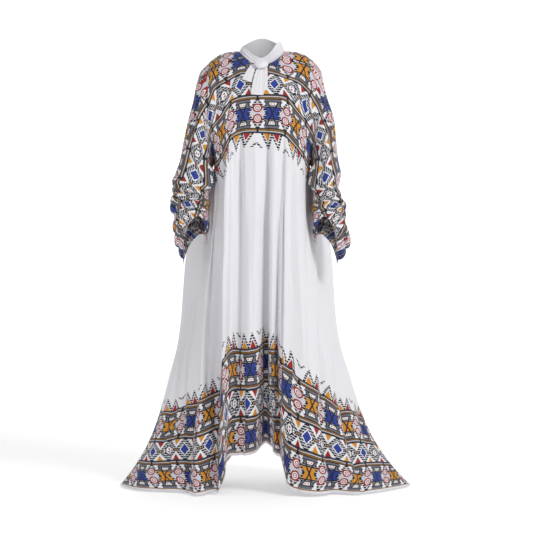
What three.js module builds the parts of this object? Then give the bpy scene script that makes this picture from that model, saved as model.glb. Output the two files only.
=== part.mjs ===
// A long, very wide kaftan of light cloth, in the form it takes when it is worn: hollow, open at neck, cuffs
// and hem. X runs to the wearer's left, Y to the wearer's back and Z up. The origin lies between the
// shoulders, at the height of the neck, where the garment hangs from its wearer. All sizes are millimetres.
import * as THREE from "three";

// Cloth and seams.
const CLOTH = 1.6; // one layer of cloth
const SEAM = 0.2; // each panel stops this far short of the middle of a seam

// Neck and shoulders.
const NECK_HALF_WIDTH = 80;
const NECK_FRONT_REACH = 62; // from the shoulder seam forward to the neck edge
const NECK_BACK_REACH = 56;
const NECK_CORNER_Z = 8;
const NECK_FRONT_Z = -46;
const NECK_BACK_Z = 14;
const SHOULDER_X = 190;
const SHOULDER_Z = -42;
const SHOULDER_ROUNDING = 2.6; // how long the shoulder stays level before it drops
const YOKE_FRONT = 130; // depth of the chest, half way down the armhole
const YOKE_BACK = 116;

// Armhole: an upright oval ring between the shoulder point and the underarm point.
const UNDERARM_X = 163;
const UNDERARM_Z = -377;
const ARMHOLE_HALF_DEPTH = 105;
const ARMHOLE_MIDDLE_Z = (SHOULDER_Z + UNDERARM_Z) / 2;

// Levels that every fold of the body passes on its way to the hem.
const WAIST_Z = -600;
const KNEE_Z = -1050;
const HEM_KICK = 2.1; // the cloth breaks outward at the floor, this many times steeper than above it

// Facets: the number of steps in each direction.
const STEPS_PER_FOLD = 3;
const STEPS_ABOVE_UNDERARM = 8;
const STEPS_BELOW_UNDERARM = 13;
const STEPS_ROUND_SLEEVE = 24;
const STEPS_ALONG_CUFF = 14;
const STEPS_ROUND_COLLAR = 32;

// Makes rows of numbers into objects with named columns.
function table(columns, rows) {
  const names = columns.split(" ");
  return rows.map((row) =>
    Object.fromEntries(names.map((name, i) => [name, row[i]])),
  );
}

const FOLD_COLUMNS = "name underX underY waistX waistY kneeX kneeY hemX hemY hemZ";

// One row for each fold line of the front, from the wearer's right side seam to the left one.
const FRONT_FOLDS = table(FOLD_COLUMNS, [
  ["right side seam", -163, 0, -248, 92, -306, 60, -482, -10, -1464],
  ["right side crest", -163, -26, -206, 58, -290, 0, -408, -95, -1466],
  ["right long valley", -162, -52, -178, 12, -232, -52, -262, -138, -1466],
  ["right front crest", -159, -84, -170, -76, -206, -104, -214, -204, -1466],
  ["deep valley", -141, -106, -144, -88, -154, -88, -161, -158, -1462],
  ["deep valley lip", -119, -130, -121, -136, -136, -136, -139, -186, -1458],
  ["lobe edge", -108, -133, -109, -145, -119, -156, -121, -146, -1412],
  ["inner edge", -97, -134, -97, -148, -104, -164, -116, -102, -1360],
  ["second valley", -71, -126, -76, -128, -82, -136, -82, -92, -1352],
  ["centre crest", -43, -138, -43, -150, -42, -168, -54, -118, -1349],
  ["centre fall", -15, -138, -14, -144, -15, -152, -22, -92, -1342],
  ["centre valley", 15, -128, 13, -116, 9, -104, 12, -22, -1320],
  ["recess edge", 28, -134, 27, -136, 25, -134, 34, -64, -1342],
  ["left crest", 39, -138, 37, -147, 37, -160, 48, -108, -1350],
  ["sharp valley", 66, -128, 56, -132, 49, -136, 62, -116, -1358],
  ["sharp crest", 74, -136, 66, -150, 63, -176, 73, -158, -1398],
  ["left lobe edge", 98, -134, 95, -150, 104, -182, 92, -194, -1448],
  ["left front", 126, -126, 130, -138, 156, -186, 174, -206, -1463],
  ["left hem valley", 147, -106, 156, -104, 196, -146, 244, -160, -1465],
  ["left front crest", 156, -78, 160, -50, 236, -100, 312, -178, -1466],
  ["left side crest", 161, -38, 190, 44, 270, -14, 412, -104, -1466],
  ["left side seam", 163, 0, 228, 92, 286, 58, 506, -6, -1465],
]);

// One row for each fold line of the back, from the right side seam to the left one.
const BACK_FOLDS = table(FOLD_COLUMNS, [
  ["right side seam", -163, 0, -248, 92, -306, 60, -482, -10, -1464],
  ["right side face", -160, 40, -236, 122, -292, 112, -440, 84, -1466],
  ["right side crest", -150, 75, -208, 142, -262, 160, -352, 168, -1467],
  ["right valley", -130, 94, -165, 122, -208, 132, -268, 138, -1465],
  ["right crest", -105, 112, -124, 144, -150, 178, -196, 206, -1462],
  ["right inner valley", -70, 112, -80, 124, -94, 138, -130, 132, -1412],
  ["right centre crest", -35, 122, -41, 146, -50, 172, -74, 170, -1352],
  ["centre valley", 0, 116, 1, 124, 3, 130, 5, 92, -1330],
  ["left centre crest", 38, 122, 46, 146, 54, 174, 76, 172, -1354],
  ["left inner valley", 72, 112, 85, 124, 100, 140, 134, 134, -1418],
  ["left crest", 106, 112, 128, 144, 156, 180, 204, 208, -1463],
  ["left valley", 130, 94, 166, 122, 210, 134, 274, 140, -1466],
  ["left side crest", 150, 75, 198, 142, 254, 158, 366, 166, -1467],
  ["left side face", 160, 40, 218, 120, 276, 106, 456, 80, -1467],
  ["left side seam", 163, 0, 228, 92, 286, 58, 506, -6, -1465],
]);

// Rings of the upper sleeves. Each swings about the underarm, from the upright armhole to a level ring.
const RING_COLUMNS = "innerX innerZ outerX outerZ middleY halfDepth square";
const RIGHT_SLEEVE_RINGS = table(RING_COLUMNS, [
  [-163, -377, -190, -42, 0, 105, 0],
  [-167, -384, -208, -62, -2, 106, 0.04],
  [-170, -392, -222, -104, -6, 105, 0.1],
  [-174, -401, -233, -165, -13, 102, 0.16],
  [-176, -412, -250, -232, -23, 98, 0.22],
  [-177, -426, -265, -306, -35, 95, 0.26],
  [-178, -442, -276, -367, -47, 92, 0.28],
  [-178, -460, -292, -415, -58, 90, 0.28],
]);
const LEFT_SLEEVE_RINGS = table(RING_COLUMNS, [
  [163, -377, 190, -42, 0, 105, 0],
  [167, -384, 202, -64, -2, 106, 0.04],
  [169, -392, 210, -106, -6, 105, 0.1],
  [171, -401, 221, -160, -13, 102, 0.16],
  [173, -412, 239, -226, -23, 98, 0.22],
  [174, -426, 246, -306, -35, 95, 0.26],
  [174, -442, 252, -367, -47, 92, 0.28],
  [174, -460, 262, -415, -58, 90, 0.28],
]);

// The ruched lower sleeves, from the last ring (along 0) to the cuff edge (along 1).
const CUFF_COLUMNS = "along innerX outerX middleY halfDepth square";
const RIGHT_CUFF = table(CUFF_COLUMNS, [
  [0, -178, -292, -58, 90, 0.28],
  [0.12, -178, -300, -62, 88, 0.28],
  [0.25, -178, -290, -65, 86, 0.27],
  [0.38, -179, -304, -67, 85, 0.26],
  [0.52, -180, -289, -69, 82, 0.24],
  [0.75, -182, -286, -71, 78, 0.2],
  [1, -186, -266, -72, 72, 0.12],
]);
const LEFT_CUFF = table(CUFF_COLUMNS, [
  [0, 174, 262, -58, 90, 0.28],
  [0.12, 172, 252, -62, 88, 0.28],
  [0.26, 171, 256, -65, 86, 0.27],
  [0.42, 171, 274, -67, 85, 0.26],
  [0.58, 172, 272, -69, 82, 0.24],
  [0.78, 174, 285, -71, 78, 0.2],
  [1, 180, 254, -72, 72, 0.12],
]);
const CUFF_INNER_Z = -648;
const CUFF_OUTER_Z = -718;
const CUFF_FRONT_LIFT = 118; // the front edge of the cuff is pulled up over the hand
const CUFF_BACK_LIFT = 58;
const CUFF_CURVE = 0.8; // how sharply the cuff edge turns down at its two lowest points
const RUCHING_ROLLS = 7; // rolls between the last ring and the cuff edge
const RUCHING_HEIGHT = 5.5;
const RUCHING_TWIST = 1.7; // the rolls run this many radians aslant round the arm

// Collar band and tie.
const COLLAR_INSET = 1.2; // clear of the neck edge
const COLLAR_TUCK = 3; // the band starts this far below the neck edge
const COLLAR_FRONT_HEIGHT = 26;
const COLLAR_SIDE_HEIGHT = 20;
const COLLAR_BACK_HEIGHT = 46;
const COLLAR_LEAN = 13; // how far the top edge of the band leans in
const COLLAR_LEFT_RISE = 22; // the wearer's left front stands higher, where it sweeps to the knot
const COLLAR_LEFT_TURN = 0.95;
const COLLAR_LEFT_SPREAD = 0.55;
const NECK_EDGE_SHARE = 0.9999; // keeps the band's corner points off the very end of the neck edge

const PLACKET_CLOTH = 1.6;
const TIE_CLOTH = 2.4; // the tie is doubled cloth
const KNOT_HALF_WIDTH = 19;
const KNOT_HALF_DEPTH = 10;
const KNOT_HALF_HEIGHT = 17;
const KNOT_TILT = -0.75; // it leans back with the slope of the chest
const KNOT_FOLD = 10.3;
const KNOT_DOWN = 0.13;
const KNOT_FORWARD = -8;
const KNOT_UP = 14.4;
const STEPS_ACROSS_STRIP = 4;
const STRIP_COLUMNS = "down fromFold toFold standOff";
const PLACKET = table(STRIP_COLUMNS, [
  [0.03, 10.1, 11.5, 0.6],
  [0.0625, 10.1, 11.5, 0.6],
  [0.125, 10.1, 11.5, 0.6],
  [0.1875, 10.1, 11.5, 0.6],
  [0.25, 10.1, 11.5, 0.6],
  [0.3125, 10.1, 11.5, 0.6],
  [0.36, 10.1, 11.5, 0.6],
]);
const TIE_LONG_END = table(STRIP_COLUMNS, [
  [0.094, 9.85, 10.9, 3],
  [0.125, 9.75, 10.85, 3.2],
  [0.1875, 9.5, 10.8, 3.6],
  [0.25, 9.2, 10.8, 4],
  [0.3125, 9, 10.75, 4.2],
  [0.375, 8.85, 10.7, 3.8],
]);
const TIE_SHORT_END = table(STRIP_COLUMNS, [
  [0.094, 9, 9.72, 0.7],
  [0.125, 8.75, 9.6, 0.8],
  [0.1875, 8.2, 9.3, 1.6],
  [0.25, 7.75, 9, 2],
  [0.275, 7.6, 8.9, 2],
]);

const lerp = (a, b, t) => a + (b - a) * t;

// Smooth curve through evenly numbered values; at may lie between two of them.
function throughRows(rows, column, at) {
  const last = rows.length - 1;
  const i = Math.min(Math.floor(at), last - 1);
  const t = at - i;
  const value = (k) => rows[Math.min(Math.max(k, 0), last)][column];
  const [a, b, c, d] = [value(i - 1), value(i), value(i + 1), value(i + 2)];
  return (
    b +
    0.5 * t * (c - a + t * (2 * a - 5 * b + 4 * c - d + t * (3 * (b - c) + d - a)))
  );
}

// Smooth curve through [z, value] stations: it starts straight down at the underarm and ends steeply.
function downStations(stations, z) {
  const last = stations.length - 1;
  const slope = (i, j) =>
    (stations[j][1] - stations[i][1]) / (stations[j][0] - stations[i][0]);
  const tangent = (i) => {
    if (i === 0) return 0;
    if (i === last) return slope(last - 1, last) * HEM_KICK;
    return (slope(i - 1, i) + slope(i, i + 1)) / 2;
  };
  let i = 0;
  while (i < last - 1 && z < stations[i + 1][0]) i++;
  const width = stations[i + 1][0] - stations[i][0];
  const t = (z - stations[i][0]) / width;
  const t2 = t * t;
  const t3 = t2 * t;
  return (
    (2 * t3 - 3 * t2 + 1) * stations[i][1] +
    (t3 - 2 * t2 + t) * width * tangent(i) +
    (3 * t2 - 2 * t3) * stations[i + 1][1] +
    (t3 - t2) * width * tangent(i + 1)
  );
}

// The neck and shoulder edge of a panel at x: front is -1 for the front and 1 for the back.
function topEdge(x, front) {
  const reach = Math.abs(x) / NECK_HALF_WIDTH;
  if (reach < 1) {
    const round = Math.sqrt(1 - reach * reach);
    const depth = front < 0 ? NECK_FRONT_REACH : NECK_BACK_REACH;
    const middleZ = front < 0 ? NECK_FRONT_Z : NECK_BACK_Z;
    const z = lerp(NECK_CORNER_Z, middleZ, round * round);
    return new THREE.Vector3(x, front * depth * round, z);
  }
  const along = (Math.abs(x) - NECK_HALF_WIDTH) / (SHOULDER_X - NECK_HALF_WIDTH);
  const drop = Math.pow(Math.min(along, 1), SHOULDER_ROUNDING);
  return new THREE.Vector3(x, 0, lerp(NECK_CORNER_Z, SHOULDER_Z, drop));
}

// A point of a body panel: fold counts along its table, down runs 0..1 to the underarm and 1..2 to the hem.
function panelPoint(folds, front, fold, down) {
  const at = (column) => throughRows(folds, column, fold);
  const underX = at("underX");
  const underY = at("underY");
  if (down <= 1) {
    const turn = Math.PI * down;
    const share = fold / (folds.length - 1);
    const top = topEdge(lerp(-SHOULDER_X, SHOULDER_X, share), front);
    const middleX = lerp(top.x / SHOULDER_X, underX / UNDERARM_X, 0.5);
    const across = 1 - middleX * middleX;
    const settles = down < 0.5 ? 1 : 1 + 2 * across;
    const bow = Math.pow(Math.sin(turn), settles);
    const end = turn < Math.PI / 2 ? top : { y: underY, z: UNDERARM_Z };
    const z =
      ARMHOLE_MIDDLE_Z + Math.abs(Math.cos(turn)) * (end.z - ARMHOLE_MIDDLE_Z);
    const x = lerp(top.x, underX, (top.z - z) / (top.z - UNDERARM_Z));
    const chest = front < 0 ? YOKE_FRONT : YOKE_BACK;
    const yokeY = front * lerp(ARMHOLE_HALF_DEPTH, chest, across);
    return new THREE.Vector3(x, lerp(end.y, yokeY, bow), z);
  }
  const z = lerp(UNDERARM_Z, at("hemZ"), down - 1);
  const levels = [UNDERARM_Z, WAIST_Z, KNEE_Z, at("hemZ")];
  const path = (axis) =>
    ["under", "waist", "knee", "hem"].map((level, i) => [
      levels[i],
      at(level + axis),
    ]);
  return new THREE.Vector3(
    downStations(path("X"), z),
    downStations(path("Y"), z),
    z,
  );
}

// A grid of points: rows of columns, each made by point(row, column).
function grid(rows, columns, point) {
  return Array.from({ length: rows }, (_, r) =>
    Array.from({ length: columns }, (_, c) => point(r, c)),
  );
}

// The direction into the cloth at each point of a grid, square to its surface.
function inward(points, wraps) {
  const rows = points.length;
  const columns = points[0].length;
  const column = (c) =>
    wraps ? (c + columns) % columns : Math.min(Math.max(c, 0), columns - 1);
  return grid(rows, columns, (r, c) => {
    const down = points[Math.min(r + 1, rows - 1)][c]
      .clone()
      .sub(points[Math.max(r - 1, 0)][c]);
    const across = points[r][column(c + 1)].clone().sub(points[r][column(c - 1)]);
    return across.cross(down).normalize();
  });
}

// A closed wall between a grid of outer points and a grid of inner ones.
function wall(outer, inner, wraps) {
  const rows = outer.length;
  const columns = outer[0].length;
  const positions = [...outer.flat(), ...inner.flat()].flatMap((p) => p.toArray());
  const outerAt = (r, c) => r * columns + (c % columns);
  const innerAt = (r, c) => rows * columns + outerAt(r, c);
  const faces = [];
  const quad = (a, b, c, d) => faces.push(a, b, c, a, c, d);
  const spans = wraps ? columns : columns - 1;
  for (let r = 0; r < rows - 1; r++) {
    for (let c = 0; c < spans; c++) {
      quad(outerAt(r, c), outerAt(r + 1, c), outerAt(r + 1, c + 1), outerAt(r, c + 1));
      quad(innerAt(r, c), innerAt(r, c + 1), innerAt(r + 1, c + 1), innerAt(r + 1, c));
    }
  }
  for (let c = 0; c < spans; c++) {
    quad(outerAt(0, c), outerAt(0, c + 1), innerAt(0, c + 1), innerAt(0, c));
    const end = rows - 1;
    quad(outerAt(end, c + 1), outerAt(end, c), innerAt(end, c), innerAt(end, c + 1));
  }
  if (!wraps) {
    for (let r = 0; r < rows - 1; r++) {
      const end = columns - 1;
      quad(outerAt(r + 1, 0), outerAt(r, 0), innerAt(r, 0), innerAt(r + 1, 0));
      quad(outerAt(r, end), outerAt(r + 1, end), innerAt(r + 1, end), innerAt(r, end));
    }
  }
  const geometry = new THREE.BufferGeometry();
  geometry.setAttribute("position", new THREE.Float32BufferAttribute(positions, 3));
  geometry.setIndex(faces);
  geometry.computeVertexNormals();
  return geometry;
}

const clothFinish = (colour) =>
  new THREE.MeshStandardMaterial({ color: colour, roughness: 0.85, metalness: 0 });

function named(name, geometry, colour) {
  const mesh = new THREE.Mesh(geometry, clothFinish(colour));
  mesh.name = name;
  return mesh;
}

// The direction from a point of the armhole ring to its middle, in the ring's own plane.
function towardArmholeMiddle(point) {
  const side = Math.sign(point.x);
  const middle = new THREE.Vector3(
    (side * (SHOULDER_X + UNDERARM_X)) / 2,
    0,
    ARMHOLE_MIDDLE_Z,
  );
  return middle.sub(point).normalize();
}

// Front or back of the body: from neck and shoulder seams to the hem, and from side seam to side seam.
function bodyPanel(name, folds, front) {
  const rows = STEPS_ABOVE_UNDERARM + STEPS_BELOW_UNDERARM + 1;
  const columns = (folds.length - 1) * STEPS_PER_FOLD + 1;
  const down = (r) =>
    r <= STEPS_ABOVE_UNDERARM
      ? r / STEPS_ABOVE_UNDERARM
      : 1 + (r - STEPS_ABOVE_UNDERARM) / STEPS_BELOW_UNDERARM;
  const outer = grid(rows, columns, (r, c) =>
    panelPoint(folds, front, c / STEPS_PER_FOLD, down(r)),
  );
  const into = inward(outer, false);
  if (front > 0) into.flat().forEach((direction) => direction.negate());
  const inner = grid(rows, columns, (r, c) => {
    const atSide = c === 0 || c === columns - 1;
    const point = outer[r][c];
    let direction = into[r][c];
    if (atSide && r < STEPS_ABOVE_UNDERARM) direction = towardArmholeMiddle(point);
    else if (atSide) direction = new THREE.Vector3(-Math.sign(point.x), 0, 0);
    else if (r === 0) direction = new THREE.Vector3(0, 0, -1);
    return point.clone().addScaledVector(direction, CLOTH);
  });
  const clearOfSeams = (points) =>
    points.forEach((row, r) =>
      row.forEach((point, c) => {
        const atSide = c === 0 || c === columns - 1;
        if (r === 0 || (atSide && r >= STEPS_ABOVE_UNDERARM)) point.y += front * SEAM;
        if (atSide && r <= STEPS_ABOVE_UNDERARM) point.x -= Math.sign(point.x) * SEAM;
      }),
    );
  clearOfSeams(outer);
  clearOfSeams(inner);
  const geometry =
    front < 0
      ? wall(outer, inner, false)
      : wall(mirrorColumns(outer), mirrorColumns(inner), false);
  return named(name, geometry, 0xe6e6ea);
}

const mirrorColumns = (points) => points.map((row) => [...row].reverse());

// A point of a level or slanting ring: turn 0 is the outer end, a quarter turn is the front. Square 0 gives
// an oval, and the ring's four sides get flatter as it grows.
function ringPoint(shape, turn) {
  const flatter = (value) =>
    Math.sign(value) * Math.pow(Math.abs(value), 1 - shape.square);
  const outward = (1 + flatter(Math.cos(turn))) / 2;
  return new THREE.Vector3(
    lerp(shape.innerX, shape.outerX, outward),
    shape.middleY - shape.halfDepth * flatter(Math.sin(turn)),
    lerp(shape.innerZ, shape.outerZ, outward),
  );
}

// A point of the lower sleeve, which hangs in slanting rolls and ends in the cuff edge.
function cuffPoint(ring, cuff, along, turn) {
  const at = (column) => {
    let i = 0;
    while (i < cuff.length - 2 && along > cuff[i + 1].along) i++;
    const t = (along - cuff[i].along) / (cuff[i + 1].along - cuff[i].along);
    return throughRows(cuff, column, i + t);
  };
  const start = ringPoint(ring, turn);
  const end = { innerZ: CUFF_INNER_Z, outerZ: CUFF_OUTER_Z };
  ["innerX", "outerX", "middleY", "halfDepth", "square"].forEach((column) => {
    end[column] = at(column);
  });
  const point = ringPoint(end, turn);
  const forward = Math.sin(turn);
  const lift = forward > 0 ? CUFF_FRONT_LIFT : CUFF_BACK_LIFT;
  point.z += lift * Math.pow(Math.abs(forward), CUFF_CURVE);
  point.z = lerp(start.z, point.z, along);
  const roll = Math.sin(2 * Math.PI * RUCHING_ROLLS * along + RUCHING_TWIST * forward);
  const fade = Math.min(1, 4 * along) * (0.45 + 0.55 * Math.pow(Math.cos(turn / 2), 2));
  const middleX = (end.innerX + end.outerX) / 2;
  const out = new THREE.Vector3(point.x - middleX, point.y - end.middleY, 0);
  return point.addScaledVector(out.normalize(), RUCHING_HEIGHT * roll * fade);
}

// A loose sleeve: the upper part swings round the shoulder, the lower part is pushed up in rolls.
function sleeve(name, rings, cuff) {
  const side = Math.sign(rings[0].innerX);
  const upper = rings.length;
  const last = rings[upper - 1];
  const outer = grid(upper + STEPS_ALONG_CUFF, STEPS_ROUND_SLEEVE, (r, c) => {
    const turn = (2 * Math.PI * c) / STEPS_ROUND_SLEEVE;
    if (r < upper) return ringPoint(rings[r], turn);
    return cuffPoint(last, cuff, (r - upper + 1) / STEPS_ALONG_CUFF, turn);
  });
  const into = inward(outer, true);
  const inner = grid(outer.length, STEPS_ROUND_SLEEVE, (r, c) => {
    const direction = r === 0 ? towardArmholeMiddle(outer[0][c]) : into[r][c];
    if (r > 0 && side > 0) direction.negate();
    return outer[r][c].clone().addScaledVector(direction, CLOTH);
  });
  [...outer[0], ...inner[0]].forEach((point) => (point.x += side * SEAM));
  const geometry =
    side < 0
      ? wall(outer, inner, true)
      : wall(mirrorColumns(outer), mirrorColumns(inner), true);
  return named(name, geometry, 0x8f8f9c);
}

// The band that stands round the neck, low in front and high behind.
function collarBand() {
  const levels = [0, 0.5, 1];
  const band = (inset) =>
    grid(levels.length, STEPS_ROUND_COLLAR, (r, c) => {
      const turn = (2 * Math.PI * c) / STEPS_ROUND_COLLAR;
      const front = Math.cos(turn) > 0 ? -1 : 1;
      const edge = topEdge(NECK_HALF_WIDTH * Math.sin(turn) * NECK_EDGE_SHARE, front);
      const end = front < 0 ? COLLAR_FRONT_HEIGHT : COLLAR_BACK_HEIGHT;
      const fromLeft = (turn - COLLAR_LEFT_TURN) / COLLAR_LEFT_SPREAD;
      const height =
        COLLAR_TUCK +
        lerp(COLLAR_SIDE_HEIGHT, end, Math.pow(Math.cos(turn), 2)) +
        COLLAR_LEFT_RISE * Math.exp(-fromLeft * fromLeft);
      const reach = Math.hypot(edge.x, edge.y);
      const shrink = 1 - (COLLAR_INSET + inset + COLLAR_LEAN * levels[r]) / reach;
      const z = edge.z - COLLAR_TUCK + height * levels[r];
      return new THREE.Vector3(edge.x * shrink, edge.y * shrink, z);
    });
  const upsideDown = (points) => [...points].reverse();
  return named(
    "collar",
    wall(upsideDown(band(0)), upsideDown(band(CLOTH * 1.5)), true),
    0xf2f2f4,
  );
}

// A flat strip of doubled cloth that lies on the front panel. Each row of the shape gives how far down the
// panel it is, its left and right edges counted in folds, and how far it stands off the panel.
function stripOnFront(name, shape, thickness) {
  const columns = STEPS_ACROSS_STRIP + 1;
  const layer = (extra) =>
    grid(shape.length, columns, (r, c) => {
      const { down, fromFold, toFold, standOff } = shape[r];
      const fold = lerp(fromFold, toFold, c / STEPS_ACROSS_STRIP);
      const at = panelPoint(FRONT_FOLDS, -1, fold, down);
      const below = panelPoint(FRONT_FOLDS, -1, fold, down + 0.01).sub(at);
      const beside = panelPoint(FRONT_FOLDS, -1, fold + 0.01, down).sub(at);
      const outward = below.cross(beside).normalize();
      return at.addScaledVector(outward, standOff + extra);
    });
  return named(name, wall(layer(thickness), layer(0), false), 0xf4f4f6);
}

// The knot of the tie, a small soft lump that rests on the two ends.
function tieKnot() {
  const seat = panelPoint(FRONT_FOLDS, -1, KNOT_FOLD, KNOT_DOWN);
  const lump = new THREE.SphereGeometry(1, 20, 12);
  lump.scale(KNOT_HALF_WIDTH, KNOT_HALF_DEPTH, KNOT_HALF_HEIGHT);
  lump.rotateX(KNOT_TILT);
  lump.translate(seat.x, seat.y + KNOT_FORWARD, seat.z + KNOT_UP);
  return named("tie_knot", lump, 0xf4f4f6);
}

const garment = new THREE.Group();
garment.add(
  bodyPanel("front", FRONT_FOLDS, -1),
  bodyPanel("back", BACK_FOLDS, 1),
  sleeve("right_sleeve", RIGHT_SLEEVE_RINGS, RIGHT_CUFF),
  sleeve("left_sleeve", LEFT_SLEEVE_RINGS, LEFT_CUFF),
  collarBand(),
  stripOnFront("placket", PLACKET, PLACKET_CLOTH),
  stripOnFront("tie_long_end", TIE_LONG_END, TIE_CLOTH),
  stripOnFront("tie_short_end", TIE_SHORT_END, TIE_CLOTH),
  tieKnot(),
);

export default garment;
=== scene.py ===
import bpy
import numpy as np
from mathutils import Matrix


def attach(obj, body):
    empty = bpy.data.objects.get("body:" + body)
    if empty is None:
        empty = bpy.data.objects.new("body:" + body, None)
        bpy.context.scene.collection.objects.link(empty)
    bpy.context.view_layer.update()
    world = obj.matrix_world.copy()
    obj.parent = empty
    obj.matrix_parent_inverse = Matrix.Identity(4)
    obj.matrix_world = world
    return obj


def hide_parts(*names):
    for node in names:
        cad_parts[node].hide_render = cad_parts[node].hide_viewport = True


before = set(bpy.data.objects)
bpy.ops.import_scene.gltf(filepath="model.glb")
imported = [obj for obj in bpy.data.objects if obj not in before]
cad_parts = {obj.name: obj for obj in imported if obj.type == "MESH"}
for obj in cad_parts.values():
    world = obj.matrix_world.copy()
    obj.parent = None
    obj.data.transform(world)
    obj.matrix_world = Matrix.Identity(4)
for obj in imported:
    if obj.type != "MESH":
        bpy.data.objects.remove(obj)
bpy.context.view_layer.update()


# ----------------------------------------------------------
# Front panel: one wide piece of crepe that hangs in deep uneven folds from the shoulders and breaks
# outward on the floor. All measures are in millimetres and turned into metres when a mesh is made.
# ----------------------------------------------------------
CLOTH = 1.0
SHOULDER_X = 190
SHOULDER_Z = -42
SHOULDER_ROUNDING = 2.6
NECK_HALF_WIDTH = 80
NECK_CORNER_Z = 8
UNDERARM_X = 163
UNDERARM_Z = -377
ARMHOLE_HALF_DEPTH = 105
ARMHOLE_MIDDLE_Z = (SHOULDER_Z + UNDERARM_Z) / 2
WAIST_Z = -600
KNEE_Z = -1050
HEM_KICK = 2.1
NECK_FRONT_REACH = 62
NECK_FRONT_Z = -46
CHEST_DEPTH = 130
FOLD_COLUMNS = "underX underY waistX waistY kneeX kneeY hemX hemY hemZ"


def table(columns, rows):
    """Named columns of numbers; a leading name in each row is for the reader only."""
    values = np.array([[v for v in row if not isinstance(v, str)] for row in rows], float)
    return dict(zip(columns.split(), values.T))


# One row for each fold line, from the wearer's right side seam to the left one.
FRONT_FOLDS = table(FOLD_COLUMNS, [
    ("right side seam", -163, 0, -248, 92, -306, 60, -482, -10, -1464),
    ("right side crest", -163, -26, -206, 58, -290, 0, -408, -95, -1466),
    ("right long valley", -162, -52, -178, 12, -232, -52, -262, -138, -1466),
    ("right front crest", -159, -84, -170, -76, -206, -104, -214, -204, -1466),
    ("deep valley", -141, -106, -144, -88, -154, -88, -161, -158, -1462),
    ("deep valley lip", -119, -130, -121, -136, -136, -136, -139, -186, -1458),
    ("lobe edge", -108, -133, -109, -145, -119, -156, -121, -146, -1412),
    ("inner edge", -97, -134, -97, -148, -104, -164, -116, -102, -1360),
    ("second valley", -71, -126, -76, -128, -82, -136, -82, -92, -1352),
    ("centre crest", -43, -138, -43, -150, -42, -168, -54, -118, -1349),
    ("centre fall", -15, -138, -14, -144, -15, -152, -22, -92, -1342),
    ("centre valley", 15, -128, 13, -116, 9, -104, 12, -22, -1320),
    ("recess edge", 28, -134, 27, -136, 25, -134, 34, -64, -1342),
    ("left crest", 39, -138, 37, -147, 37, -160, 48, -108, -1350),
    ("sharp valley", 66, -128, 56, -132, 49, -136, 62, -116, -1358),
    ("sharp crest", 74, -136, 66, -150, 63, -176, 73, -158, -1398),
    ("left lobe edge", 98, -134, 95, -150, 104, -182, 92, -194, -1448),
    ("left front", 126, -126, 130, -138, 156, -186, 174, -206, -1463),
    ("left hem valley", 147, -106, 156, -104, 196, -146, 244, -160, -1465),
    ("left front crest", 156, -78, 160, -50, 236, -100, 312, -178, -1466),
    ("left side crest", 161, -38, 190, 44, 270, -14, 412, -104, -1466),
    ("left side seam", 163, 0, 228, 92, 286, 58, 506, -6, -1465),
])

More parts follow.
